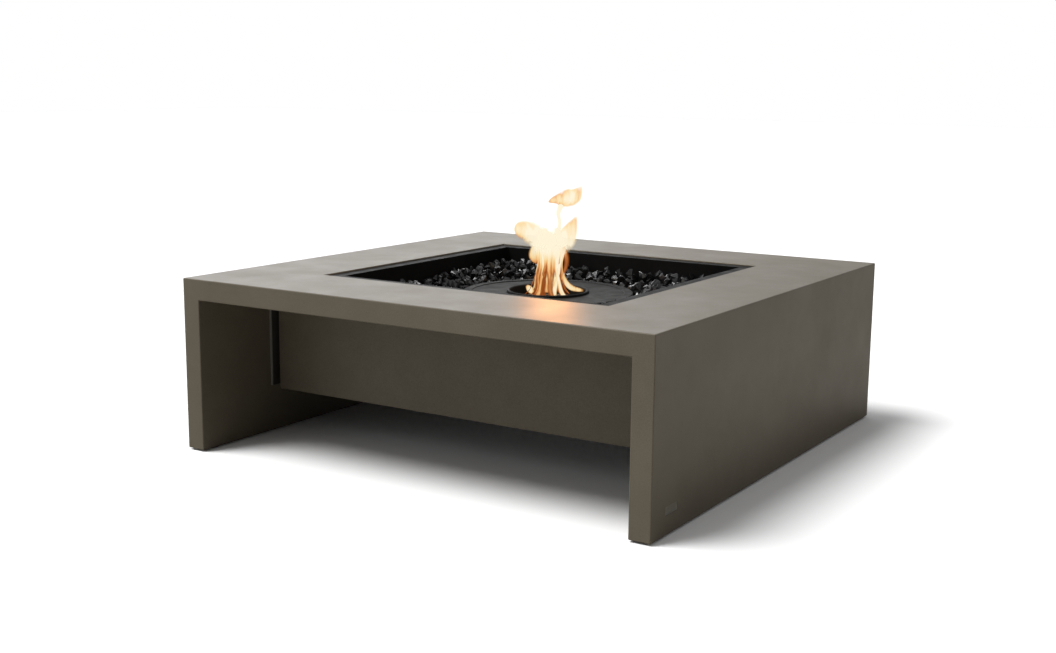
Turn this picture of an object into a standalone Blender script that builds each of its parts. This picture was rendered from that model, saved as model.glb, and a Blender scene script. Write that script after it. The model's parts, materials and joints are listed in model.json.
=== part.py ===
"""A low square fire table: a cast concrete top on two full-depth legs, with two
hanging skirts, a drop-in steel fire tray, a bed of glass and a round burner.

Metres, +Z up. The origin is on the ground under the middle of the table.
+X runs along the front face to the right, and -Y is the front.
"""

import math

import bmesh
import bpy
from mathutils import Matrix

# Table
WIDTH = 1.000
DEPTH = 1.000
HEIGHT = 0.333
SLAB = 0.040
LEG = 0.040
GROUND_GAP = 0.003
ARRIS = 0.0025
FIT = 0.0003
STEEL = 0.002

# Opening in the slab, and the shallow rebate that the tray's flange lies in
REBATE_HALF = 0.313
REBATE_DEPTH = 0.0055
REBATE_CHAMFER = 0.0012
OPENING_HALF = 0.292

# Fire tray
FLANGE_HALF = 0.312
FLANGE_BELOW_TOP = 0.003
FLANGE_THICK = 0.0022
WELL_HALF = 0.286
WELL_CORNER = 0.004
TRAY_FLOOR = 0.258
BURNER_HOLE = 0.086
UPSTAND = 0.010

# Burner
PLATE_RADIUS = 0.170
PLATE_TOP = 0.289
PLATE_HOLE = 0.0788
PLATE_RIM = 0.018
PLATE_RIM_STEP = 0.0015
LIP_MIDDLE = 0.0790
LIP_ROUND = 0.0035
LIP_WALL = 0.0012
LIP_TOP = 0.294
LIP_INNER_END = 0.2735
CAN_RADIUS = 0.0784
CAN_WALL = 0.0014
CAN_TOP = 0.2902
CAN_BOTTOM = 0.166
CUP_RADIUS = 0.0753
CUP_WALL = 0.0012
CUP_TOP = 0.2675
CUP_MOUTH = 0.069
FIBRE_TOP = 0.230
FIBRE_EDGE = 0.002
GRATE_RADIUS = 0.0735
GRATE_THICK = 0.002
GRATE_HOLE = 0.0042
GRATE_RINGS = ((0.0, 1), (0.015, 6), (0.030, 12), (0.045, 18))

# Glass bed
GLASS_TOP = 0.300
GLASS_GAP = 0.0015

# Skirts and the brackets that hold them to the legs
SKIRT_FACE = 0.304
SKIRT_THICK = 0.012
SKIRT_HALF_LENGTH = 0.4416
SKIRT_BOTTOM = 0.091
SKIRT_EDGE = 0.001
BRACKET_STEEL = 0.005
BRACKET_FRONT = 0.312
BRACKET_BACK = 0.232
BRACKET_REACH = 0.395
BRACKET_BOTTOM = 0.097
BRACKET_TOP = 0.289
BOLT_LEVELS = (0.130, 0.255)

# Fasteners
LEG_BOLT_Y = 0.255
LEG_BOLT_RADIUS = 0.003
LEG_BOLT_LENGTH = 0.024
LEG_BOLT_HEAD = (0.0058, 0.004)
FERRULE_RADIUS = 0.007
FERRULE_LENGTH = 0.024
SKIRT_SCREW_X = 0.418
SKIRT_SCREW_RADIUS = 0.0025
SKIRT_SCREW_LENGTH = 0.0140
SKIRT_SCREW_HEAD = (0.0048, 0.003)
SCREW_CLEARANCE = 0.0004

# Levelling feet
FOOT_X = 0.480
FOOT_Y = 0.460
PAD_RADIUS = 0.015
PAD_HEIGHT = 0.0085
PAD_EDGE = 0.001
PAD_POCKET = 0.017
PAD_POCKET_TOP = 0.011
STUD_RADIUS = 0.004
STUD_TOP = 0.038
INSERT_RADIUS = 0.008
INSERT_TOP = 0.041

# Name plate, left blank
BADGE_Y = -0.431
BADGE_Z = 0.0435
BADGE_LENGTH = 0.040
BADGE_HEIGHT = 0.014
BADGE_THICK = 0.001
BADGE_INSET = 0.0002
BADGE_EDGE = 0.0003
BADGE_RIM = 0.0022
BADGE_FIELD_DEPTH = 0.0004

CUP_BOTTOM = CAN_BOTTOM + CAN_WALL + FIT
SLAB_UNDERSIDE = HEIGHT - SLAB
LEG_INNER = WIDTH / 2 - LEG
SIDES = (("left", -1), ("right", 1))
ENDS = (("front", -1), ("back", 1))

# name: (colour, roughness, metallic)
FINISHES = {
    "concrete": ((0.16, 0.145, 0.12), 0.55, 0.0),
    "black_steel": ((0.012, 0.012, 0.012), 0.5, 0.6),
    "burner_steel": ((0.05, 0.05, 0.05), 0.45, 0.8),
    "stainless": ((0.55, 0.55, 0.54), 0.3, 1.0),
    "black_glass": ((0.01, 0.01, 0.011), 0.08, 0.0),
    "ceramic_fibre": ((0.75, 0.73, 0.68), 0.95, 0.0),
    "zinc": ((0.5, 0.5, 0.5), 0.4, 1.0),
    "nylon": ((0.03, 0.03, 0.03), 0.6, 0.0),
    "badge_metal": ((0.3, 0.3, 0.27), 0.35, 1.0),
}


def clear_scene():
    for obj in list(bpy.data.objects):
        bpy.data.objects.remove(obj, do_unlink=True)


def new_collection(name):
    collection = bpy.data.collections.new(name)
    bpy.context.scene.collection.children.link(collection)
    return collection


def new_material(name, finish):
    colour, roughness, metallic = FINISHES[finish]
    material = bpy.data.materials.new(name)
    material.use_nodes = True
    shader = material.node_tree.nodes["Principled BSDF"]
    shader.inputs["Base Color"].default_value = (*colour, 1.0)
    shader.inputs["Roughness"].default_value = roughness
    shader.inputs["Metallic"].default_value = metallic
    return material


def mesh_from(name, fill):
    """A mesh filled by a function that works on a bmesh."""
    bm = bmesh.new()
    fill(bm)
    mesh = bpy.data.meshes.new(name)
    bm.to_mesh(mesh)
    bm.free()
    return mesh


def place(name, mesh, finish, location=(0, 0, 0), rotation=(0, 0, 0)):
    """A part: one object with its own material, in the parts collection."""
    obj = bpy.data.objects.new(name, mesh)
    obj.location = location
    obj.rotation_euler = rotation
    parts.objects.link(obj)
    material = new_material(name, finish)
    if mesh.materials:
        obj.material_slots[0].link = "OBJECT"
        obj.material_slots[0].material = material
    else:
        mesh.materials.append(material)
    return obj


def as_cutter(obj):
    obj.hide_render = True
    obj.display_type = "WIRE"
    for collection in list(obj.users_collection):
        collection.objects.unlink(obj)
    cutters.objects.link(obj)
    return obj


def box_mesh(name, low, high):
    size = [b - a for a, b in zip(low, high)]
    middle = [(a + b) / 2 for a, b in zip(low, high)]
    shape = Matrix.Translation(middle) @ Matrix.Diagonal((*size, 1))
    return mesh_from(name, lambda bm: bmesh.ops.create_cube(bm, size=1, matrix=shape))


def box(name, low, high, finish):
    return place(name, box_mesh(name, low, high), finish)


def box_cutter(name, low, high):
    return as_cutter(bpy.data.objects.new(name, box_mesh(name, low, high)))


def cylinder_mesh(name, radius, top_radius, length, segments, matrix):
    def fill(bm):
        bmesh.ops.create_cone(
            bm,
            cap_ends=True,
            segments=segments,
            radius1=radius,
            radius2=top_radius,
            depth=length,
            matrix=matrix,
        )

    return mesh_from(name, fill)


def round_cutter(name, radius, middle, length, axis="Z", segments=16):
    turn = {"X": ("Y", 90), "Y": ("X", -90), "Z": ("Z", 0)}[axis]
    matrix = Matrix.Translation(middle) @ Matrix.Rotation(math.radians(turn[1]), 4, turn[0])
    mesh = cylinder_mesh(name, radius, radius, length, segments, matrix)
    return as_cutter(bpy.data.objects.new(name, mesh))


def square_frustum_cutter(name, bottom_half, top_half, bottom, top):
    """A square block whose sides flare from bottom_half to top_half."""
    matrix = Matrix.Translation((0, 0, (bottom + top) / 2)) @ Matrix.Rotation(math.pi / 4, 4, "Z")
    corner = math.sqrt(2)
    mesh = cylinder_mesh(name, bottom_half * corner, top_half * corner, top - bottom, 4, matrix)
    return as_cutter(bpy.data.objects.new(name, mesh))


def combine(obj, other, operation):
    modifier = obj.modifiers.new(f"{operation} {other.name}", "BOOLEAN")
    modifier.operation = operation
    modifier.object = other
    modifier.solver = "EXACT"


def cut(obj, cutter):
    combine(obj, cutter, "DIFFERENCE")


def bevel(obj, width, segments):
    modifier = obj.modifiers.new("Bevel", "BEVEL")
    modifier.width = width
    modifier.segments = segments
    modifier.limit_method = "ANGLE"
    modifier.angle_limit = math.radians(40)


def turned(name, outline, finish, steps=64, location=(0, 0, 0), rotation=(0, 0, 0)):
    """A piece turned about Z. The outline holds (radius, height) points that run down its
    outer side. It is a closed loop unless it starts and ends on the axis."""
    mesh = bpy.data.meshes.new(name)
    count = len(outline)
    solid = outline[0][0] == 0 and outline[-1][0] == 0
    edges = [(i, i + 1) for i in range(count - 1)]
    if not solid:
        edges.append((count - 1, 0))
    mesh.from_pydata([(radius, 0, height) for radius, height in outline], edges, [])
    obj = place(name, mesh, finish, location, rotation)
    screw = obj.modifiers.new("Screw", "SCREW")
    screw.axis = "Z"
    screw.angle = math.tau
    screw.steps = steps
    screw.render_steps = steps
    screw.use_merge_vertices = solid
    screw.merge_threshold = 0.00005
    screw.use_smooth_shade = True
    return obj


def arc(radius, height, reach, start, end, count):
    """Points of an arc in the outline plane, by angle in degrees."""
    angles = [math.radians(start + (end - start) * i / count) for i in range(count + 1)]
    return [(radius + reach * math.cos(a), height + reach * math.sin(a)) for a in angles]


def concrete_shell():
    shell = box(
        "concrete_shell",
        (-WIDTH / 2, -DEPTH / 2, GROUND_GAP),
        (WIDTH / 2, DEPTH / 2, HEIGHT),
        "concrete",
    )
    space = box_cutter(
        "cut_between_legs",
        (-LEG_INNER, -DEPTH, -HEIGHT),
        (LEG_INNER, DEPTH, SLAB_UNDERSIDE),
    )
    cut(shell, space)
    bevel(shell, ARRIS, 2)
    opening = box_cutter(
        "cut_opening",
        (-OPENING_HALF, -OPENING_HALF, SLAB_UNDERSIDE - SLAB),
        (OPENING_HALF, OPENING_HALF, HEIGHT + SLAB),
    )
    cut(shell, opening)
    rebate = box_cutter(
        "cut_rebate",
        (-REBATE_HALF, -REBATE_HALF, HEIGHT - REBATE_DEPTH),
        (REBATE_HALF, REBATE_HALF, HEIGHT + SLAB),
    )
    cut(shell, rebate)
    flare = square_frustum_cutter(
        "cut_rebate_chamfer",
        REBATE_HALF,
        REBATE_HALF + 2 * REBATE_CHAMFER,
        HEIGHT - REBATE_CHAMFER,
        HEIGHT + REBATE_CHAMFER,
    )
    cut(shell, flare)
    badge_pocket = box_cutter(
        "cut_badge",
        (
            WIDTH / 2 - BADGE_THICK - BADGE_INSET - FIT,
            BADGE_Y - BADGE_LENGTH / 2 - FIT,
            BADGE_Z - BADGE_HEIGHT / 2 - FIT,
        ),
        (
            WIDTH / 2 + BADGE_LENGTH,
            BADGE_Y + BADGE_LENGTH / 2 + FIT,
            BADGE_Z + BADGE_HEIGHT / 2 + FIT,
        ),
    )
    cut(shell, badge_pocket)
    for side, sx in SIDES:
        for end, sy in ENDS:
            foot_pockets(shell, f"{end}_{side}", sx * FOOT_X, sy * FOOT_Y)
            for level, z in enumerate(BOLT_LEVELS, 1):
                pocket = round_cutter(
                    f"cut_ferrule_{end}_{side}_{level}",
                    FERRULE_RADIUS + FIT,
                    (sx * LEG_INNER, sy * LEG_BOLT_Y, z),
                    2 * (FERRULE_LENGTH + 2 * FIT),
                    "X",
                    16,
                )
                cut(shell, pocket)


def foot_pockets(shell, place_name, x, y):
    """The wide pocket for a foot's pad, and the narrow one above it for its threaded insert."""
    wide = round_cutter(f"cut_pad_{place_name}", PAD_POCKET, (x, y, 0), 2 * PAD_POCKET_TOP)
    narrow = round_cutter(
        f"cut_insert_{place_name}", INSERT_RADIUS + FIT, (x, y, 0), 2 * (INSERT_TOP + FIT), segments=16
    )
    cut(shell, wide)
    cut(shell, narrow)


def badge():
    """A blank plate whose field is sunk inside a raised rim."""
    outer = WIDTH / 2 - BADGE_INSET
    plate = box(
        "badge_plate",
        (outer - BADGE_THICK, BADGE_Y - BADGE_LENGTH / 2, BADGE_Z - BADGE_HEIGHT / 2),
        (outer, BADGE_Y + BADGE_LENGTH / 2, BADGE_Z + BADGE_HEIGHT / 2),
        "badge_metal",
    )
    bevel(plate, BADGE_EDGE, 2)
    field = box_cutter(
        "cut_badge_field",
        (
            outer - BADGE_FIELD_DEPTH,
            BADGE_Y - BADGE_LENGTH / 2 + BADGE_RIM,
            BADGE_Z - BADGE_HEIGHT / 2 + BADGE_RIM,
        ),
        (
            outer + BADGE_THICK,
            BADGE_Y + BADGE_LENGTH / 2 - BADGE_RIM,
            BADGE_Z + BADGE_HEIGHT / 2 - BADGE_RIM,
        ),
    )
    cut(plate, field)


def skirt(end, sy):
    near, far = sorted((sy * SKIRT_FACE, sy * (SKIRT_FACE - SKIRT_THICK)))
    panel = box(
        f"skirt_{end}",
        (-SKIRT_HALF_LENGTH, near, SKIRT_BOTTOM),
        (SKIRT_HALF_LENGTH, far, SLAB_UNDERSIDE - FIT),
        "concrete",
    )
    bevel(panel, SKIRT_EDGE, 2)
    inner_face = sy * (SKIRT_FACE - SKIRT_THICK)
    depth = SKIRT_SCREW_LENGTH - BRACKET_STEEL + FIT
    for side, sx in SIDES:
        for level, z in enumerate(BOLT_LEVELS, 1):
            hole = round_cutter(
                f"cut_skirt_{end}_{side}_{level}",
                SKIRT_SCREW_RADIUS + SCREW_CLEARANCE,
                (sx * SKIRT_SCREW_X, inner_face, z),
                2 * depth,
                "Y",
                12,
            )
            cut(panel, hole)


def skirt_bracket(end, sy, side, sx):
    """A welded T of steel plate: one flange on the leg, one behind the skirt."""
    name = f"skirt_bracket_{end}_{side}"
    leg_face = LEG_INNER - FIT
    inner_face = leg_face - BRACKET_STEEL
    web_face = SKIRT_FACE - SKIRT_THICK - 2 * FIT
    x_low, x_high = sorted((sx * leg_face, sx * inner_face))
    y_low, y_high = sorted((sy * BRACKET_FRONT, sy * BRACKET_BACK))
    bracket = box(name, (x_low, y_low, BRACKET_BOTTOM), (x_high, y_high, BRACKET_TOP), "black_steel")
    x_low, x_high = sorted((sx * (leg_face - BRACKET_STEEL / 2), sx * BRACKET_REACH))
    y_low, y_high = sorted((sy * web_face, sy * (web_face - BRACKET_STEEL)))
    web = box_cutter(f"join_{name}", (x_low, y_low, BRACKET_BOTTOM), (x_high, y_high, BRACKET_TOP))
    combine(bracket, web, "UNION")
    for level, z in enumerate(BOLT_LEVELS, 1):
        through_leg = round_cutter(
            f"cut_{name}_leg_{level}",
            LEG_BOLT_RADIUS + SCREW_CLEARANCE,
            (sx * leg_face, sy * LEG_BOLT_Y, z),
            4 * BRACKET_STEEL,
            "X",
            16,
        )
        cut(bracket, through_leg)
        through_web = round_cutter(
            f"cut_{name}_skirt_{level}",
            SKIRT_SCREW_RADIUS + SCREW_CLEARANCE,
            (sx * SKIRT_SCREW_X, sy * web_face, z),
            4 * BRACKET_STEEL,
            "Y",
            16,
        )
        cut(bracket, through_web)


def screw_mesh(name, radius, length, head):
    """A hexagon-headed screw pointing down, with its head standing on z = 0."""
    head_radius, head_height = head
    head_matrix = Matrix.Translation((0, 0, head_height / 2))
    head_part = bpy.data.objects.new(
        name, cylinder_mesh(name, head_radius, head_radius, head_height, 6, head_matrix)
    )
    shank_length = length + head_height / 2
    shank_matrix = Matrix.Translation((0, 0, head_height / 2 - shank_length / 2))
    shank = bpy.data.objects.new(
        f"{name}_shank", cylinder_mesh(name, radius, radius, shank_length, 12, shank_matrix)
    )
    for obj in (head_part, shank):
        cutters.objects.link(obj)
    combine(head_part, shank, "UNION")
    graph = bpy.context.evaluated_depsgraph_get()
    mesh = bpy.data.meshes.new_from_object(head_part.evaluated_get(graph))
    for obj in (head_part, shank):
        bpy.data.objects.remove(obj, do_unlink=True)
    return mesh


def bracket_fasteners():
    leg_bolt = screw_mesh("leg_bolt", LEG_BOLT_RADIUS, LEG_BOLT_LENGTH, LEG_BOLT_HEAD)
    skirt_screw = screw_mesh("skirt_screw", SKIRT_SCREW_RADIUS, SKIRT_SCREW_LENGTH, SKIRT_SCREW_HEAD)
    bolt_seat = LEG_INNER - BRACKET_STEEL - 2 * FIT
    screw_seat = SKIRT_FACE - SKIRT_THICK - BRACKET_STEEL - 3 * FIT
    ferrule_outline = [
        (FERRULE_RADIUS, FERRULE_LENGTH),
        (FERRULE_RADIUS, 0),
        (LEG_BOLT_RADIUS + FIT, 0),
        (LEG_BOLT_RADIUS + FIT, FERRULE_LENGTH),
    ]
    for side, sx in SIDES:
        for end, sy in ENDS:
            for level, z in enumerate(BOLT_LEVELS, 1):
                spot = f"{end}_{side}_{level}"
                facing_inward = (0, -sx * math.pi / 2, 0)
                turned(
                    f"leg_ferrule_{spot}",
                    ferrule_outline,
                    "zinc",
                    16,
                    (sx * (LEG_INNER + FIT + FERRULE_LENGTH), sy * LEG_BOLT_Y, z),
                    facing_inward,
                )
                place(
                    f"leg_bolt_{spot}", leg_bolt, "zinc", (sx * bolt_seat, sy * LEG_BOLT_Y, z), facing_inward
                )
                place(
                    f"skirt_screw_{spot}",
                    skirt_screw,
                    "zinc",
                    (sx * SKIRT_SCREW_X, sy * screw_seat, z),
                    (sy * math.pi / 2, 0, 0),
                )


def levelling_feet():
    """Nylon pads on threaded studs, each in a metal insert cast into the bottom of a leg."""
    foot_outline = [
        (0, STUD_TOP),
        (STUD_RADIUS - PAD_EDGE, STUD_TOP),
        (STUD_RADIUS, STUD_TOP - PAD_EDGE),
        (STUD_RADIUS, PAD_HEIGHT),
        (PAD_RADIUS - PAD_EDGE, PAD_HEIGHT),
        (PAD_RADIUS, PAD_HEIGHT - PAD_EDGE),
        (PAD_RADIUS, PAD_EDGE),
        (PAD_RADIUS - PAD_EDGE, 0),
        (0, 0),
    ]
    bore = STUD_RADIUS + FIT
    insert_outline = [
        (INSERT_RADIUS, INSERT_TOP),
        (INSERT_RADIUS, PAD_POCKET_TOP + FIT),
        (bore, PAD_POCKET_TOP + FIT),
        (bore, INSERT_TOP),
    ]
    for side, sx in SIDES:
        for end, sy in ENDS:
            spot = (sx * FOOT_X, sy * FOOT_Y, 0)
            turned(f"foot_{end}_{side}", foot_outline, "nylon", 16, spot)
            turned(f"foot_insert_{end}_{side}", insert_outline, "zinc", 16, spot)


def fire_tray():
    flange_top = HEIGHT - FLANGE_BELOW_TOP
    tray = box(
        "fire_tray",
        (-FLANGE_HALF, -FLANGE_HALF, flange_top - FLANGE_THICK),
        (FLANGE_HALF, FLANGE_HALF, flange_top),
        "black_steel",
    )
    outer = WELL_HALF + STEEL
    pan = box_cutter(
        "join_tray_pan",
        (-outer, -outer, TRAY_FLOOR - STEEL),
        (outer, outer, flange_top - FLANGE_THICK / 2),
    )
    combine(tray, pan, "UNION")
    well = box_cutter(
        "cut_tray_well",
        (-WELL_HALF, -WELL_HALF, TRAY_FLOOR),
        (WELL_HALF, WELL_HALF, HEIGHT + SLAB),
    )
    bevel(well, WELL_CORNER, 3)
    cut(tray, well)
    collar = round_cutter(
        "join_tray_upstand", BURNER_HOLE + STEEL, (0, 0, TRAY_FLOOR), 2 * UPSTAND, segments=48
    )
    combine(tray, collar, "UNION")
    below = TRAY_FLOOR - STEEL
    waste = round_cutter(
        "cut_under_upstand",
        BURNER_HOLE + 2 * STEEL,
        (0, 0, below - UPSTAND),
        2 * UPSTAND,
        segments=48,
    )
    cut(tray, waste)
    hole = round_cutter("cut_burner_hole", BURNER_HOLE, (0, 0, TRAY_FLOOR), 6 * UPSTAND, segments=48)
    cut(tray, hole)


def glass_bed():
    half = WELL_HALF - GLASS_GAP
    bed = box(
        "glass_bed", (-half, -half, TRAY_FLOOR + WELL_CORNER), (half, half, GLASS_TOP), "black_glass"
    )
    bevel(bed, WELL_CORNER, 2)
    round_gap = PLATE_RADIUS + GLASS_GAP
    cut(bed, round_cutter("cut_glass_bed", round_gap, (0, 0, GLASS_TOP), HEIGHT, segments=64))


def burner_plate():
    foot = TRAY_FLOOR + FIT
    rim_top = PLATE_TOP + PLATE_RIM_STEP
    step = PLATE_RADIUS - PLATE_RIM
    corner = STEEL
    outline = [(PLATE_HOLE, PLATE_TOP), (step, PLATE_TOP), (step + PLATE_RIM_STEP, rim_top)]
    outline += arc(PLATE_RADIUS - corner, rim_top - corner, corner, 90, 0, 2)
    outline += [
        (PLATE_RADIUS, foot),
        (PLATE_RADIUS - STEEL, foot),
        (PLATE_RADIUS - STEEL, rim_top - STEEL),
        (step + PLATE_RIM_STEP + STEEL / 2, rim_top - STEEL),
        (step + STEEL / 2, PLATE_TOP - STEEL),
        (PLATE_HOLE, PLATE_TOP - STEEL),
    ]
    turned("burner_plate", outline, "burner_steel", 56)


def burner_lip():
    """A rolled ring with an inverted U section that caps the can and lines the mouth."""
    spring_line = LIP_TOP - LIP_ROUND
    outline = arc(LIP_MIDDLE, spring_line, LIP_ROUND, 180, 0, 4)
    outline += [
        (LIP_MIDDLE + LIP_ROUND, PLATE_TOP + FIT),
        (LIP_MIDDLE + LIP_ROUND - LIP_WALL, PLATE_TOP + FIT),
    ]
    outline += arc(LIP_MIDDLE, spring_line, LIP_ROUND - LIP_WALL, 0, 180, 2)
    outline += [
        (LIP_MIDDLE - LIP_ROUND + LIP_WALL, LIP_INNER_END),
        (LIP_MIDDLE - LIP_ROUND, LIP_INNER_END),
    ]
    turned("burner_lip", outline, "burner_steel", 44)


def burner_can():
    inner = CAN_RADIUS - CAN_WALL
    outline = [
        (0, CAN_BOTTOM + CAN_WALL),
        (inner, CAN_BOTTOM + CAN_WALL),
        (inner, CAN_TOP),
        (CAN_RADIUS, CAN_TOP),
        (CAN_RADIUS, CAN_BOTTOM),
        (0, CAN_BOTTOM),
    ]
    turned("burner_can", outline, "stainless", 40)


def fuel_cup():
    """The cup that holds the fuel, with an inward rim that the grate lies on."""
    floor = CUP_BOTTOM + CUP_WALL
    inner = CUP_RADIUS - CUP_WALL
    outline = [
        (0, floor),
        (inner, floor),
        (inner, CUP_TOP - CUP_WALL),
        (CUP_MOUTH, CUP_TOP - CUP_WALL),
        (CUP_MOUTH, CUP_TOP),
        (CUP_RADIUS, CUP_TOP),
        (CUP_RADIUS, CUP_BOTTOM),
        (0, CUP_BOTTOM),
    ]
    turned("fuel_cup", outline, "stainless", 40)


def ceramic_fibre_pad():
    """A wad of fibre at the bottom of the cup, which soaks up the fuel."""
    bottom = CUP_BOTTOM + CUP_WALL + FIT
    radius = CUP_RADIUS - CUP_WALL - 2 * FIT
    outline = [
        (0, FIBRE_TOP),
        (radius - FIBRE_EDGE, FIBRE_TOP),
        (radius, FIBRE_TOP - FIBRE_EDGE),
        (radius, bottom),
        (0, bottom),
    ]
    turned("ceramic_fibre_pad", outline, "ceramic_fibre", 32)


def burner_grate():
    """A round plate with rings of holes, lying on the fuel cup's rim."""
    bottom = CUP_TOP + FIT
    matrix = Matrix.Translation((0, 0, bottom + GRATE_THICK / 2))
    mesh = cylinder_mesh("burner_grate", GRATE_RADIUS, GRATE_RADIUS, GRATE_THICK, 40, matrix)
    grate = place("burner_grate", mesh, "stainless")

    def fill(bm):
        for ring_radius, count in GRATE_RINGS:
            for i in range(count):
                angle = math.tau * i / count
                spot = (ring_radius * math.cos(angle), ring_radius * math.sin(angle), bottom)
                bmesh.ops.create_cone(
                    bm,
                    cap_ends=True,
                    segments=8,
                    radius1=GRATE_HOLE,
                    radius2=GRATE_HOLE,
                    depth=6 * GRATE_THICK,
                    matrix=Matrix.Translation(spot),
                )

    holes = mesh_from("cut_grate_holes", fill)
    cut(grate, as_cutter(bpy.data.objects.new("cut_grate_holes", holes)))


clear_scene()
parts = new_collection("fire_table")
cutters = new_collection("cutters")
concrete_shell()
badge()
for end_name, end_sign in ENDS:
    skirt(end_name, end_sign)
    for side_name, side_sign in SIDES:
        skirt_bracket(end_name, end_sign, side_name, side_sign)
bracket_fasteners()
levelling_feet()
fire_tray()
glass_bed()
burner_plate()
burner_lip()
burner_can()
fuel_cup()
ceramic_fibre_pad()
burner_grate()
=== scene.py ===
"""The looks of the fire table: materials, the glass bed, the burner's fine shape, light and camera."""

import math
import random

import bmesh
import bpy
import numpy as np
from mathutils import Euler, Matrix, Vector
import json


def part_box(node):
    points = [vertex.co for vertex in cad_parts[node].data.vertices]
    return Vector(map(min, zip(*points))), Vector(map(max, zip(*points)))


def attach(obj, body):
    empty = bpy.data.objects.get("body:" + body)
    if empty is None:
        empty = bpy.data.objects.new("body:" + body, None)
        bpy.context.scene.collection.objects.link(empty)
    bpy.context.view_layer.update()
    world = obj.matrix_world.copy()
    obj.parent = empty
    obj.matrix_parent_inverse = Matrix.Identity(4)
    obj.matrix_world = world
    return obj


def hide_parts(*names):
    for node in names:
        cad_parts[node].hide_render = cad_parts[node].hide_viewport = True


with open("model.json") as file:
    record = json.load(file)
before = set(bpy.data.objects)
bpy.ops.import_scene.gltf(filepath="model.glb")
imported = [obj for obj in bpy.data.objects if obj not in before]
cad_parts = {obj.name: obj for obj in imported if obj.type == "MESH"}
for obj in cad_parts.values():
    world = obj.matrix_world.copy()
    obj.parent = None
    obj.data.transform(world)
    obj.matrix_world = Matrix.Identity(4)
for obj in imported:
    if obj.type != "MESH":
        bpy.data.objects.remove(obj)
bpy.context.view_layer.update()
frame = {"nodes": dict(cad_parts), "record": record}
nodes = frame["nodes"]

# Camera, in metres and degrees
CAMERA_AT = (1.422, -2.2994, 0.7084)
CAMERA_HEADING = 32.56
CAMERA_PITCH = -10.28
CAMERA_ROLL = 0.517
CAMERA_LENS = 46.64
SENSOR = 36.0

# CAD nodes: how near their split corners meet, how far a sharp edge is broken, and from what angle it counts
WELD_WITHIN = 0.00001
EDGE_BREAK = 0.0004
EDGE_SHARP = 40
FLAT_WEIGHT = 90

# Brackets: how far from the middle plane their edges begin to take a painted highlight, and where it is full
HIGHLIGHT_FROM = 0.3106
HIGHLIGHT_FULL = 0.3116
EDGE_HIGHLIGHT = (0.45, 0.44, 0.41)

# Glass: the settling grid's step, the lumps' half sizes, their gap to the walls, their nesting and wear
GRID_STEP = 0.0025
CHUNK_HALF = (0.0085, 0.0155)
CHUNK_GAP = 0.0008
CHUNK_NEST = 0.72
CHUNK_WEAR = 0.0007
CHUNK_SHARP = 25
# The bed's surface: beside the burner, at the front wall and at the back wall, and how uneven it is
BED_NEAR = 0.2930
BED_FRONT = 0.3010
BED_BACK = 0.3160
BED_UNEVEN = (-0.002, 0.004)
BED_SEED = 11
TRIES = 5200
SPOTS_A_TRY = 5

# Flame: its strands, where they start, its lean, the light it throws, and the steps along and across
FLAME_SEED = 5
STRANDS = 22
STRAND_FOOT = (0.026, 0.050)
STRAND_HEAT = (-0.35, -0.15, 0.1, 0.5)
STRAND_BOW = 0.35
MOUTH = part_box("burner_grate")[1][2] + 0.012
FLAME_LEAN = Vector((0.05, 0.03, 0))
FLAME_THROWN = 1.4
PATH_STEPS = 6
RIBBON_STEPS = 12
# The flame's reflection in the concrete
GLEAM_POWER = 1.5
GLEAM_AT = (0.007, 0.004, 0.45)
GLEAM_RADIUS = 0.05
GLEAM_COLOUR = (1.0, 0.42, 0.14)

# Stage: the floor as the camera sees it and as it throws light, and the surround low down and overhead
FLOOR_HALF = 20
FLOOR_SEEN = 0.93
FLOOR_THROWN = (0.45, 0.43, 0.385)
WORLD_SIDE = 0.055
WORLD_TOP = 0.40
WORLD_RISE = (0.45, 0.95)
# Where each pale side is, the cosines of its edge and of its even middle, and its strength
WORLD_GLOWS = (
    ((-0.78, 0.62, 0.13), 0.85, 0.975, 1.4),
    ((-0.30, 0.95, 0.12), 0.70, 0.95, 0.55),
    ((0.93, 0.30, 0.20), 0.60, 0.95, 0.45),
    ((-0.52, -0.85, 0.08), 0.62, 0.95, 0.74),
)
SUN_FROM = (-0.43, -0.33, 1.0)
SUN_ANGLE = 30
SUN_STRENGTH = 3.5


# ---------------------------------------------------------------- camera and materials


def add_camera():
    camera = bpy.data.objects.new("camera", bpy.data.cameras.new("camera"))
    camera.data.lens = CAMERA_LENS
    camera.data.sensor_width = SENSOR
    camera.location = CAMERA_AT
    heading = Matrix.Rotation(math.radians(CAMERA_HEADING), 4, "Z")
    tilt = Matrix.Rotation(math.radians(90 + CAMERA_PITCH), 4, "X")
    roll = Matrix.Rotation(math.radians(CAMERA_ROLL), 4, "Z")
    camera.rotation_euler = (heading @ tilt @ roll).to_euler()
    bpy.context.scene.collection.objects.link(camera)
    bpy.context.scene.camera = camera


add_camera()


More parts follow.
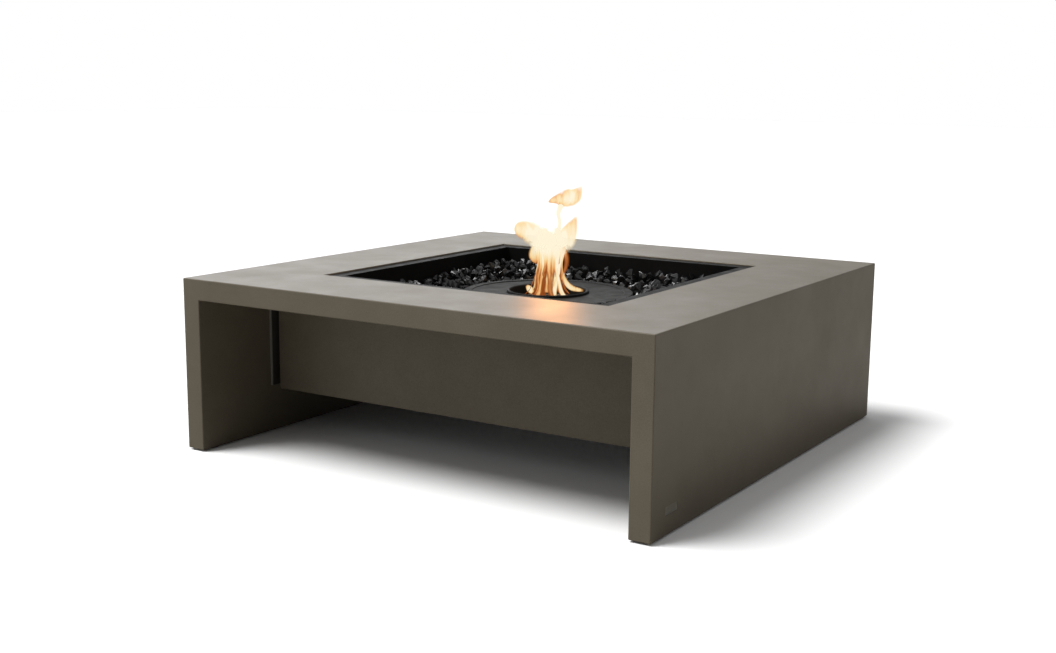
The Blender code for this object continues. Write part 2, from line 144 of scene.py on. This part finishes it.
class Nodes:
    """A material's node tree, with short ways to add the nodes that the materials here use."""

    def __init__(self, name):
        self.material = bpy.data.materials.new(name)
        self.material.use_nodes = True
        self.tree = self.material.node_tree
        self.shader = self.tree.nodes["Principled BSDF"]
        places = self.tree.nodes.new("ShaderNodeTexCoord")
        self.coords = places.outputs["Object"]

    def set(self, **values):
        for key, value in values.items():
            self.shader.inputs[key.replace("_", " ")].default_value = value

    def link(self, output, socket):
        self.tree.links.new(output, socket)

    def into(self, name, output):
        self.link(output, self.shader.inputs[name])

    def noise(self, scale, detail=4.0, roughness=0.5, stretch=(1, 1, 1), distortion=0.0):
        mapping = self.tree.nodes.new("ShaderNodeMapping")
        mapping.inputs["Scale"].default_value = stretch
        self.link(self.coords, mapping.inputs["Vector"])
        node = self.tree.nodes.new("ShaderNodeTexNoise")
        node.inputs["Scale"].default_value = scale
        node.inputs["Detail"].default_value = detail
        node.inputs["Roughness"].default_value = roughness
        node.inputs["Distortion"].default_value = distortion
        self.link(mapping.outputs["Vector"], node.inputs["Vector"])
        return node.outputs["Fac"]

    def cells(self, scale):
        node = self.tree.nodes.new("ShaderNodeTexVoronoi")
        node.inputs["Scale"].default_value = scale
        self.link(self.coords, node.inputs["Vector"])
        return node.outputs["Distance"]

    def ramp(self, value, stops):
        """Colours or greys by value; each stop is (place, colour or grey)."""
        node = self.tree.nodes.new("ShaderNodeValToRGB")
        ramp = node.color_ramp
        while len(ramp.elements) < len(stops):
            ramp.elements.new(1.0)
        for element, (place, colour) in zip(ramp.elements, stops):
            element.position = place
            rgb = colour if isinstance(colour, tuple) else (colour,) * 3
            element.color = (*rgb, 1)
        self.link(value, node.inputs["Fac"])
        return node.outputs["Color"]

    def mix(self, factor, a, b, blend="MIX"):
        node = self.tree.nodes.new("ShaderNodeMix")
        node.data_type = "RGBA"
        node.blend_type = blend
        for socket, value in (("Factor", factor), ("A", a), ("B", b)):
            target = next(s for s in node.inputs if s.name == socket and s.enabled)
            if isinstance(value, (int, float)):
                target.default_value = value
            elif isinstance(value, tuple):
                target.default_value = (*value, 1)
            else:
                self.link(value, target)
        return next(s for s in node.outputs if s.enabled)

    def math(self, operation, a, b=0.0):
        node = self.tree.nodes.new("ShaderNodeMath")
        node.operation = operation
        for socket, value in zip(node.inputs, (a, b)):
            if isinstance(value, (int, float)):
                socket.default_value = value
            else:
                self.link(value, socket)
        return node.outputs["Value"]

    def bump(self, height, strength, distance, under=None):
        node = self.tree.nodes.new("ShaderNodeBump")
        node.inputs["Strength"].default_value = strength
        node.inputs["Distance"].default_value = distance
        self.link(height, node.inputs["Height"])
        if under:
            self.link(under, node.inputs["Normal"])
        return node.outputs["Normal"]


def concrete():
    """Fine cast concrete: faint clouds, a fine speckle of sand, rare pinholes painted darker as painted
    shade, satin sealer.
    """
    m = Nodes("concrete")
    clouds = m.ramp(
        m.noise(2.6, 5, 0.5, distortion=0.3),
        [(0.3, (0.114, 0.098, 0.072)), (0.7, (0.128, 0.110, 0.082))],
    )
    blotches = m.ramp(m.noise(17, 6, 0.6), [(0.35, 0.95), (0.65, 1.04)])
    speckle = m.ramp(m.noise(420, 2, 0.7), [(0.36, 0.9), (0.5, 1.0), (0.68, 1.08)])
    sand = m.ramp(m.noise(1300, 1, 0.5), [(0.3, 0.86), (0.42, 1.0), (0.66, 1.0), (0.74, 1.22)])
    pits = m.ramp(m.cells(34), [(0.028, 0.0), (0.05, 1.0)])
    colour = m.mix(1.0, clouds, blotches, "MULTIPLY")
    colour = m.mix(1.0, colour, speckle, "MULTIPLY")
    colour = m.mix(1.0, colour, sand, "MULTIPLY")
    rarely = m.ramp(m.noise(9, 2, 0.5), [(0.6, 1.0), (0.66, 0.0)])
    pits = m.mix(rarely, pits, (1, 1, 1))
    # The pinholes are painted darker: painted shade inside them.
    colour = m.mix(1.0, colour, m.mix(0.5, (1, 1, 1), pits), "MULTIPLY")
    m.into("Base Color", colour)
    m.into("Roughness", m.ramp(m.noise(11, 5, 0.6), [(0.3, 0.37), (0.7, 0.45)]))
    ripple = m.bump(m.noise(26, 3, 0.5), 0.06, 0.0005)
    grain = m.bump(m.noise(900, 3, 0.6), 0.18, 0.00012, ripple)
    m.into("Normal", m.bump(pits, 0.5, 0.0005, grain))
    m.set(Specular_IOR_Level=0.3)
    return m.material


def powder_coat(name, colour, edge_highlight, roughness, gloss):
    """Powder coat on sheet steel: an orange-peel skin and faint dust. Front edges may be painted lighter, a
    painted highlight.
    """
    m = Nodes(name)
    thin = tuple(0.85 * c for c in colour)
    thick = tuple(1.35 * c + 0.0015 for c in colour)
    dust = m.ramp(m.noise(14, 6, 0.65), [(0.35, thin), (0.75, thick)])
    split = m.tree.nodes.new("ShaderNodeSeparateXYZ")
    m.link(m.coords, split.inputs["Vector"])
    from_middle = m.math("ABSOLUTE", split.outputs["Y"])
    # Edge faces far from the middle plane are painted lighter: a painted highlight, not wear.
    painted_highlight = m.math("MULTIPLY", m.ramp(from_middle, [(HIGHLIGHT_FROM, 0.0), (HIGHLIGHT_FULL, 1.0)]), edge_highlight)
    m.into("Base Color", m.mix(painted_highlight, dust, EDGE_HIGHLIGHT))
    worn = [(0.3, roughness - 0.07), (0.7, roughness + 0.08)]
    m.into("Roughness", m.ramp(m.noise(40, 4, 0.6), worn))
    m.into("Normal", m.bump(m.noise(750, 2, 0.5), 0.25, 0.00015))
    m.set(Specular_IOR_Level=gloss)
    return m.material


def burner_steel():
    """Steel with a heat-proof dark grey coat, dulled and tinted round the mouth."""
    m = Nodes("burner_steel")
    place = m.tree.nodes.new("ShaderNodeVectorMath")
    place.operation = "MULTIPLY"
    place.inputs[1].default_value = (1, 1, 0)
    m.link(m.coords, place.inputs[0])
    length = m.tree.nodes.new("ShaderNodeVectorMath")
    length.operation = "LENGTH"
    m.link(place.outputs["Vector"], length.inputs[0])
    radius = m.math("ADD", length.outputs["Value"], m.math("MULTIPLY", m.noise(22, 5, 0.6), 0.03))
    tint = m.ramp(
        m.math("MULTIPLY", radius, 5.0),
        [
            (0.42, (0.004, 0.0035, 0.003)),
            (0.47, (0.006, 0.0055, 0.005)),
            (0.6, (0.0075, 0.0072, 0.0068)),
            (1.0, (0.008, 0.0077, 0.0073)),
        ],
    )
    wear = m.ramp(m.noise(60, 5, 0.7), [(0.35, 0.85), (0.7, 1.15)])
    m.into("Base Color", m.mix(1.0, tint, wear, "MULTIPLY"))
    m.into("Roughness", m.ramp(m.noise(35, 5, 0.6), [(0.3, 0.46), (0.7, 0.6)]))
    m.into("Normal", m.bump(m.noise(600, 2, 0.5), 0.2, 0.0001))
    m.set(Specular_IOR_Level=0.12)
    return m.material


def brushed(name, colour, roughness, stretch):
    """Bare metal with fine lines one way."""
    m = Nodes(name)
    lines = m.noise(90, 6, 0.7, stretch)
    darker = tuple(0.8 * c for c in colour)
    m.into("Base Color", m.ramp(lines, [(0.3, darker), (0.7, colour)]))
    m.into("Roughness", m.ramp(lines, [(0.3, roughness - 0.06), (0.7, roughness + 0.1)]))
    m.into("Normal", m.bump(lines, 0.2, 0.00008))
    m.set(Metallic=1.0)
    return m.material


def black_glass():
    """Tumbled black glass: each piece its own shade, glossy faces, here and there a frosted one."""
    m = Nodes("black_glass")
    island = m.tree.nodes.new("ShaderNodeNewGeometry").outputs["Random Per Island"]
    body = m.ramp(
        island,
        [
            (0.0, (0.004, 0.004, 0.0045)),
            (0.7, (0.012, 0.012, 0.013)),
            (0.97, (0.020, 0.020, 0.022)),
            (1.0, (0.045, 0.047, 0.050)),
        ],
    )
    dust = m.ramp(m.noise(130, 5, 0.7), [(0.42, 0.0), (0.7, 0.5)])
    m.into("Base Color", m.mix(dust, body, (0.036, 0.035, 0.034)))
    frosted = m.math("MULTIPLY", m.ramp(island, [(0.8, 0.0), (0.95, 1.0)]), 0.2)
    gloss = m.ramp(m.noise(90, 4, 0.6), [(0.35, 0.16), (0.7, 0.34)])
    m.into("Roughness", m.math("ADD", gloss, frosted))
    m.into("Normal", m.bump(m.noise(330, 3, 0.6), 0.3, 0.0006))
    m.set(IOR=1.52)
    return m.material


def fibre():
    """White ceramic wool, soft and matted."""
    m = Nodes("ceramic_fibre")
    strands = m.noise(240, 8, 0.75, (1, 1, 4))
    m.into("Base Color", m.ramp(strands, [(0.3, (0.55, 0.52, 0.46)), (0.7, (0.82, 0.80, 0.74))]))
    m.into("Normal", m.bump(strands, 0.8, 0.002))
    m.set(Roughness=0.95)
    return m.material


def nylon():
    """Black moulded nylon, slightly mottled."""
    m = Nodes("nylon")
    m.into("Base Color", m.ramp(m.noise(120, 4, 0.6), [(0.3, 0.025), (0.7, 0.05)]))
    m.into("Roughness", m.ramp(m.noise(80, 3, 0.5), [(0.3, 0.45), (0.7, 0.6)]))
    m.into("Normal", m.bump(m.noise(500, 2, 0.5), 0.2, 0.0002))
    return m.material


CONCRETE = concrete()
TRAY_STEEL = powder_coat("tray_steel", (0.0055, 0.0052, 0.005), 0.0, 0.5, 0.05)
# The brackets' black steel is lighter than the tray's, as painted light in the shaded gap where they show,
# and its edges take a painted highlight.
BRACKET_STEEL_PAINTED_LIGHT = powder_coat("bracket_steel_painted_light", (0.034, 0.031, 0.028), 0.4, 0.55, 0.2)
BURNER_STEEL = burner_steel()
STAINLESS = brushed("stainless", (0.46, 0.45, 0.43), 0.3, (1, 1, 12))
ZINC = brushed("zinc", (0.52, 0.52, 0.5), 0.36, (4, 4, 4))
BADGE = brushed("badge_metal", (0.30, 0.29, 0.26), 0.36, (1, 14, 1))
GLASS = black_glass()
FIBRE = fibre()
NYLON = nylon()
BY_SLOT = {
    "concrete": CONCRETE,
    "black_steel": TRAY_STEEL,
    "burner_steel": BURNER_STEEL,
    "stainless": STAINLESS,
    "zinc": ZINC,
    "badge_metal": BADGE,
    "black_glass": GLASS,
    "ceramic_fibre": FIBRE,
    "nylon": NYLON,
}


def finish_cad_nodes():
    """Each CAD node takes its slot's material, except the brackets, which take a lighter black steel with
    painted light. Its round faces are shaded smooth and its edges broken.
    """
    for subpart in frame["record"]["subparts"]:
        node = nodes[subpart["node"]]
        node.data.materials.clear()
        # Brackets take the lighter steel: painted light for the shade they sit in.
        bracket = subpart["node"].startswith("skirt_bracket")
        node.data.materials.append(BRACKET_STEEL_PAINTED_LIGHT if bracket else BY_SLOT[subpart["material_slot"]])
        weld = node.modifiers.new("Weld", "WELD")
        weld.merge_threshold = WELD_WITHIN
        edges = node.modifiers.new("Broken edges", "BEVEL")
        edges.width = EDGE_BREAK
        edges.segments = 2
        edges.limit_method = "ANGLE"
        edges.angle_limit = math.radians(EDGE_SHARP)
        node.data.shade_smooth()
        flats = node.modifiers.new("Flat faces stay flat", "WEIGHTED_NORMAL")
        flats.mode = "FACE_AREA"
        flats.weight = FLAT_WEIGHT


finish_cad_nodes()


# ---------------------------------------------------------------- glass bed


def link_piece(name, mesh, body, material):
    piece = bpy.data.objects.new(name, mesh)
    mesh.materials.append(material)
    bpy.context.scene.collection.objects.link(piece)
    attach(piece, body)
    return piece


def chunk_corners(draw, half):
    """Corners of one broken lump of glass, all inside a ball of this radius, and flatter one way."""
    flat = Matrix.Diagonal((1.0, draw.uniform(0.72, 0.95), draw.uniform(0.58, 0.8)))
    turn = Euler([draw.uniform(0, math.tau) for _ in range(3)]).to_matrix()
    corners = []
    for _ in range(draw.randint(9, 14)):
        along = Vector([draw.gauss(0, 1) for _ in range(3)]).normalized()
        corners.append(turn @ (flat @ along) * half * draw.uniform(0.86, 1.0))
    return corners


class Bed:
    """Heights of the settled glass on a square grid. A lump comes to rest on the highest thing under it."""

    def __init__(self, low, high, hole):
        self.low = np.array(low[:2])
        self.count = np.ceil((np.array(high[:2]) - self.low) / GRID_STEP).astype(int)
        self.height = np.full(self.count, low[2])
        self.high = np.array(high[:2])
        self.hole = hole

    def under(self, x, y, half):
        """The grid cells under a lump, and how far its ball bulges at each."""
        reach = int(half / GRID_STEP) + 1
        i, j = ((np.array((x, y)) - self.low) / GRID_STEP).astype(int)
        rows = np.arange(max(i - reach, 0), min(i + reach + 1, self.count[0]))
        columns = np.arange(max(j - reach, 0), min(j + reach + 1, self.count[1]))
        away_x = self.low[0] + (rows + 0.5) * GRID_STEP - x
        away_y = self.low[1] + (columns + 0.5) * GRID_STEP - y
        left = half**2 - away_x[:, None] ** 2 - away_y[None, :] ** 2
        return np.ix_(rows, columns), left > 0, np.sqrt(np.maximum(left, 0))

    def rest(self, x, y, half):
        """The height of the lump's middle when it lies here."""
        cells, inside, bulge = self.under(x, y, half)
        return (self.height[cells] + bulge)[inside].max()

    def lay(self, x, y, z, half):
        cells, inside, bulge = self.under(x, y, half)
        self.height[cells] = np.where(inside, np.maximum(self.height[cells], z + bulge), self.height[cells])

    def surface(self, x, y):
        """How high the glass may come here: low beside the burner, higher towards the walls and the back."""
        out = (math.hypot(x, y) - self.hole) / (self.high[0] - self.hole)
        back = (y - self.low[1]) / (self.high[1] - self.low[1])
        wall = BED_FRONT + (BED_BACK - BED_FRONT) * min(1.0, 1.6 * back)
        return BED_NEAR + (wall - BED_NEAR) * min(max(out, 0.0), 1.0) ** 0.7

    def clear(self, x, y, half):
        inside = max(abs(x), abs(y)) + half < self.high[0] - CHUNK_GAP
        return inside and math.hypot(x, y) - half > self.hole + CHUNK_GAP


def add_glass():
    """Loose lumps of glass, dropped one by one on the tray's floor round the burner."""
    draw = random.Random(BED_SEED)
    low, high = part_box("glass_bed")
    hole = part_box("burner_plate")[1][0]
    bed = Bed(low, high, hole)
    bm = bmesh.new()
    for _ in range(TRIES):
        half = draw.uniform(*CHUNK_HALF)
        spots = []
        while len(spots) < SPOTS_A_TRY:
            x = draw.uniform(low[0], high[0])
            y = draw.uniform(low[1], high[1])
            if bed.clear(x, y, half):
                spots.append((bed.rest(x, y, half), x, y))
        z, x, y = min(spots)
        if z + half > bed.surface(x, y) + draw.uniform(*BED_UNEVEN):
            continue
        bed.lay(x, y, z, half * CHUNK_NEST)
        corners = [bm.verts.new(Vector((x, y, z)) + c) for c in chunk_corners(draw, half)]
        hull = bmesh.ops.convex_hull(bm, input=corners)
        buried = [part for part in hull["geom_interior"] if isinstance(part, bmesh.types.BMVert)]
        bmesh.ops.delete(bm, geom=buried, context="VERTS")
    bmesh.ops.recalc_face_normals(bm, faces=bm.faces)
    mesh = bpy.data.meshes.new("glass_chunks")
    bm.to_mesh(mesh)
    bm.free()
    glass = link_piece("glass_chunks", mesh, "fire_tray", GLASS)
    worn = glass.modifiers.new("Worn edges", "BEVEL")
    worn.width = CHUNK_WEAR
    worn.segments = 1
    worn.limit_method = "ANGLE"
    worn.angle_limit = math.radians(CHUNK_SHARP)
    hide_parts("glass_bed")


add_glass()


# ---------------------------------------------------------------- flame, which is not part of the object


def smooth_path(points, steps):
    """A curve through the points. Each point is a tuple of numbers, which all follow the curve."""
    ends = [points[0], *points, points[-1]]
    found = []
    for a, b, c, d in zip(ends, ends[1:], ends[2:], ends[3:]):
        for i in range(steps):
            t = i / steps
            weights = (
                -0.5 * t + t * t - 0.5 * t**3,
                1 - 2.5 * t * t + 1.5 * t**3,
                0.5 * t + 2 * t * t - 1.5 * t**3,
                -0.5 * t * t + 0.5 * t**3,
            )
            found.append([sum(w * q for w, q in zip(weights, four)) for four in zip(a, b, c, d)])
    return [*found, list(points[-1])]


class Flame:
    """Bowed ribbons of glowing gas. Each corner knows its heat and how far it is from its ribbon's edge."""

    def __init__(self):
        self.bm = bmesh.new()
        self.hot = self.bm.verts.layers.float.new("hot")
        self.core = self.bm.verts.layers.float.new("core")

    def ribbon(self, rows, width_way, bow):
        """Rows are (middle, half width, heat); width_way gives the way across each row."""
        last = None
        count = len(rows) - 1
        for i, (middle, half, heat) in enumerate(rows):
            across, outward = width_way(i)
            ends = min(1.0, 6 * i / count, 4 * (count - i) / count)
            row = []
            for k in range(RIBBON_STEPS + 1):
                u = 2 * k / RIBBON_STEPS - 1
                vert = self.bm.verts.new(middle + across * half * u + outward * bow * half * (1 - u * u))
                vert[self.hot] = heat
                vert[self.core] = (1 - u * u) * ends
                row.append(vert)
            if last:
                for k in range(RIBBON_STEPS):
                    self.bm.faces.new((last[k], last[k + 1], row[k + 1], row[k]))
            last = row

    def tongue(self, points, turn, bow):
        """A ribbon on a path of (sideways, height, half width, heat), in the upright plane at this angle."""
        side = Vector((math.cos(turn), math.sin(turn), 0))
        outward = Vector((side.y, -side.x, 0))
        path = smooth_path(points, PATH_STEPS)
        rows = [(side * s + Vector((0, 0, z)), half, heat) for s, z, half, heat in path]

        def way(i):
            along = rows[min(i + 1, len(rows) - 1)][0] - rows[max(i - 1, 0)][0]
            return along.normalized().cross(outward), outward

        self.ribbon(rows, way, bow)

    def strand(self, points, angle, twist):
        """A ribbon that rises from the mouth, on a path of (radius, height, half width, heat)."""
        path = smooth_path(points, PATH_STEPS)
        rows = []
        ways = []
        for i, (radius, z, half, heat) in enumerate(path):
            a = angle + twist * i / len(path)
            outward = Vector((math.cos(a), math.sin(a), 0))
            rows.append((outward * radius + FLAME_LEAN * (z - MOUTH) + Vector((0, 0, z)), half, heat))
            ways.append((Vector((-outward.y, outward.x, 0)), outward))
        self.ribbon(rows, lambda i: ways[i], STRAND_BOW)

    def mesh(self):
        mesh = bpy.data.meshes.new("flame")
        self.bm.to_mesh(mesh)
        self.bm.free()
        mesh.shade_smooth()
        return mesh


def flame_material():
    """Glowing gas: brown and thin where cool, cream and dense where hot, with licks that run upwards."""
    m = Nodes("flame")
    tree = m.tree
    hot = tree.nodes.new("ShaderNodeAttribute")
    hot.attribute_name = "hot"
    core = tree.nodes.new("ShaderNodeAttribute")
    core.attribute_name = "core"
    licks = m.noise(60, 4, 0.6, (1, 1, 0.2), 0.5)
    heat = m.math("ADD", m.math("MULTIPLY", core.outputs["Fac"], 0.4), hot.outputs["Fac"])
    heat = m.math("ADD", heat, m.math("MULTIPLY", m.math("SUBTRACT", licks, 0.5), 1.4))
    colour = m.ramp(
        heat,
        [
            (0.0, (0.28, 0.065, 0.011)),
            (0.25, (0.53, 0.18, 0.048)),
            (0.45, (0.86, 0.43, 0.15)),
            (0.7, (0.96, 0.72, 0.37)),
            (1.0, (1.0, 0.90, 0.68)),
        ],
    )
    solid = m.math("MULTIPLY", core.outputs["Fac"], m.ramp(licks, [(0.3, 0.8), (0.6, 2.6)]))
    solid = m.math("MINIMUM", solid, 0.95)
    glow = tree.nodes.new("ShaderNodeEmission")
    m.link(colour, glow.inputs["Color"])
    seen = tree.nodes.new("ShaderNodeLightPath").outputs["Is Camera Ray"]
    dimmer = m.math("MULTIPLY", seen, FLAME_THROWN - 1.0)
    m.link(m.math("SUBTRACT", FLAME_THROWN, dimmer), glow.inputs["Strength"])
    clear = tree.nodes.new("ShaderNodeBsdfTransparent")
    mixed = tree.nodes.new("ShaderNodeMixShader")
    m.link(solid, mixed.inputs["Fac"])
    m.link(clear.outputs["BSDF"], mixed.inputs[1])
    m.link(glow.outputs["Emission"], mixed.inputs[2])
    m.link(mixed.outputs["Shader"], tree.nodes["Material Output"].inputs["Surface"])
    tree.nodes.remove(m.shader)
    return m.material


# Tongues of the flame in an upright plane: sideways, height, half width, heat
BODY = (
    (0.007, 0.318, 0.020, -0.1),
    (0.006, 0.345, 0.024, 0.3),
    (0.005, 0.368, 0.028, 0.8),
    (0.004, 0.388, 0.035, 1.2),
    (0.004, 0.402, 0.031, 1.2),
    (0.007, 0.412, 0.016, 1.0),
)
LEFT_LOBE = (
    (-0.004, 0.374, 0.015, 1.1),
    (-0.028, 0.402, 0.024, 0.8),
    (-0.046, 0.412, 0.021, 0.55),
    (-0.060, 0.411, 0.017, 0.4),
    (-0.068, 0.409, 0.006, 0.3),
)
RIGHT_LOBE = (
    (0.014, 0.370, 0.016, 1.1),
    (0.032, 0.392, 0.023, 0.8),
    (0.043, 0.413, 0.017, 0.55),
    (0.056, 0.442, 0.003, 0.35),
)
LEFT_FLAP = (
    (-0.010, 0.392, 0.008, 1.0),
    (-0.024, 0.376, 0.011, 0.7),
    (-0.028, 0.360, 0.011, 0.35),
    (-0.017, 0.346, 0.005, 0.0),
)
RIGHT_LOOP = (
    (0.029, 0.380, 0.004, 0.3),
    (0.036, 0.362, 0.006, 0.0),
    (0.036, 0.342, 0.005, -0.1),
    (0.028, 0.318, 0.002, 0.1),
)
RIGHT_FOOT = (
    (0.026, 0.335, 0.003, 0.3),
    (0.035, 0.310, 0.005, 0.3),
    (0.049, 0.297, 0.006, 0.45),
    (0.072, 0.292, 0.003, 0.3),
)
LEFT_FOOT = (
    (-0.030, 0.286, 0.004, 0.3),
    (-0.036, 0.294, 0.007, 0.5),
    (-0.043, 0.302, 0.003, 0.2),
)
WISP = (
    (0.014, 0.400, 0.008, 1.0),
    (0.022, 0.424, 0.004, 0.9),
    (0.019, 0.446, 0.005, 0.9),
    (0.025, 0.463, 0.007, 0.8),
    (0.032, 0.470, 0.002, 0.7),
)
PUFF = (
    (-0.002, 0.468, 0.002, 0.2),
    (0.012, 0.473, 0.009, 0.3),
    (0.033, 0.476, 0.019, 0.4),
    (0.051, 0.482, 0.017, 0.45),
    (0.066, 0.502, 0.002, 0.4),
)
# The tongues in the front plane alone, each with its bow
FRONT_ONLY = (
    (LEFT_FLAP, 0.4),
    (RIGHT_LOOP, -0.4),
    (RIGHT_FOOT, 0.3),
    (LEFT_FOOT, 0.3),
    (WISP, 0.4),
    (PUFF, 0.3),
)


def slimmer(path, share, sink):
    """The same tongue, nearer the axis, lower at its tip and hot all along."""
    last = len(path) - 1
    return [(side * share, z - sink * i / last, half, 1.1) for i, (side, z, half, _) in enumerate(path)]


def add_flame():
    """A flame over the mouth: strands that gather at a neck, a body with two lobes, a wisp and a puff."""
    draw = random.Random(FLAME_SEED)
    flame = Flame()
    facing = math.radians(CAMERA_HEADING)
    for i in range(STRANDS):
        angle = math.tau * (i + draw.uniform(-0.3, 0.3)) / STRANDS
        foot = draw.uniform(*STRAND_FOOT)
        heat = draw.choice(STRAND_HEAT)
        flame.strand(
            [
                (foot, MOUTH, draw.uniform(0.004, 0.008), heat),
                (0.75 * foot, MOUTH + 0.014, 0.006, heat + 0.05),
                (0.026, 0.325, 0.005, heat + 0.1),
                (0.023, 0.350, 0.007, heat + 0.4),
                (0.027, draw.uniform(0.375, 0.392), 0.011, 1.2),
            ],
            angle,
            draw.uniform(-0.6, 0.6),
        )
    flame.tongue(BODY, facing, 0.5)
    flame.tongue(LEFT_LOBE, facing, 0.4)
    flame.tongue(RIGHT_LOBE, facing, -0.4)
    for path, bow in FRONT_ONLY:
        flame.tongue(path, facing, bow)
    for turn in (1, 2):
        plane = facing + turn * math.pi / 3
        flame.tongue(slimmer(BODY[2:], 1.0, 0.012), plane, 0.5)
        flame.tongue(slimmer(LEFT_LOBE, 0.65, 0.022), plane, 0.4)
        flame.tongue(slimmer(RIGHT_LOBE, 0.65, 0.040), plane, -0.4)
    obj = bpy.data.objects.new("flame", flame.mesh())
    obj.data.materials.append(flame_material())
    bpy.context.scene.collection.objects.link(obj)
    obj.visible_shadow = False
    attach(obj, "burner")


def add_gleam():
    """The flame's reflection in the sealed concrete, which no other surface takes."""
    light = bpy.data.lights.new("flame_gleam", "POINT")
    light.shadow_soft_size = GLEAM_RADIUS
    light.color = GLEAM_COLOUR
    light.energy = GLEAM_POWER
    gleam = bpy.data.objects.new("flame_gleam", light)
    gleam.location = GLEAM_AT
    gleam.visible_diffuse = False
    bpy.context.scene.collection.objects.link(gleam)
    polished = bpy.data.collections.new("polished_concrete")
    polished.objects.link(nodes["concrete_shell"])
    gleam.light_linking.receiver_collection = polished


add_flame()
add_gleam()


# ---------------------------------------------------------------- stage


def add_floor():
    """A plain pale floor, which throws less light than the camera sees on it."""
    bm = bmesh.new()
    bmesh.ops.create_grid(bm, x_segments=8, y_segments=8, size=FLOOR_HALF)
    mesh = bpy.data.meshes.new("floor")
    bm.to_mesh(mesh)
    bm.free()
    floor = bpy.data.objects.new("floor", mesh)
    bpy.context.scene.collection.objects.link(floor)
    m = Nodes("floor")
    seen = m.tree.nodes.new("ShaderNodeLightPath").outputs["Is Camera Ray"]
    m.into("Base Color", m.mix(seen, FLOOR_THROWN, (FLOOR_SEEN,) * 3))
    m.set(Roughness=0.9, Specular_IOR_Level=0.0)
    floor.data.materials.append(m.material)


def add_sun(name, come_from, angle, strength):
    """A wide far light: it lights every stretch of the floor alike, and its shadows have broad soft edges."""
    light = bpy.data.lights.new(name, "SUN")
    light.angle = math.radians(angle)
    light.energy = strength
    obj = bpy.data.objects.new(name, light)
    obj.rotation_euler = Vector(come_from).to_track_quat("Z", "Y").to_euler()
    bpy.context.scene.collection.objects.link(obj)


def add_world():
    """A white surround for the camera. It lights the table from above and from four pale sides."""
    world = bpy.data.worlds.new("studio")
    bpy.context.scene.world = world
    world.use_nodes = True
    tree = world.node_tree
    tree.nodes.clear()
    new = tree.nodes.new

    def fade(value, low, high, dim, bright):
        node = new("ShaderNodeMapRange")
        node.interpolation_type = "SMOOTHSTEP"
        tree.links.new(value, node.inputs["Value"])
        for socket, number in zip(("From Min", "From Max", "To Min", "To Max"), (low, high, dim, bright)):
            node.inputs[socket].default_value = number
        return node.outputs["Result"]

    coords = new("ShaderNodeTexCoord")
    split = new("ShaderNodeSeparateXYZ")
    tree.links.new(coords.outputs["Generated"], split.inputs["Vector"])
    total = fade(split.outputs["Z"], *WORLD_RISE, WORLD_SIDE, WORLD_TOP)
    for come_from, edge, middle, strength in WORLD_GLOWS:
        toward = new("ShaderNodeVectorMath")
        toward.operation = "DOT_PRODUCT"
        toward.inputs[1].default_value = Vector(come_from).normalized()
        tree.links.new(coords.outputs["Generated"], toward.inputs[0])
        glow = fade(toward.outputs["Value"], edge, middle, 0.0, strength)
        both = new("ShaderNodeMath")
        tree.links.new(total, both.inputs[0])
        tree.links.new(glow, both.inputs[1])
        total = both.outputs["Value"]
    lit = new("ShaderNodeBackground")
    lit.inputs["Color"].default_value = (1, 1, 1, 1)
    tree.links.new(total, lit.inputs["Strength"])
    seen = new("ShaderNodeBackground")
    seen.inputs["Color"].default_value = (1, 1, 1, 1)
    path = new("ShaderNodeLightPath")
    choose = new("ShaderNodeMixShader")
    output = new("ShaderNodeOutputWorld")
    tree.links.new(path.outputs["Is Camera Ray"], choose.inputs["Fac"])
    tree.links.new(lit.outputs["Background"], choose.inputs[1])
    tree.links.new(seen.outputs["Background"], choose.inputs[2])
    tree.links.new(choose.outputs["Shader"], output.inputs["Surface"])


add_floor()
add_world()
add_sun("key_softbox", SUN_FROM, SUN_ANGLE, SUN_STRENGTH)
bpy.context.scene.view_settings.view_transform = "Standard"
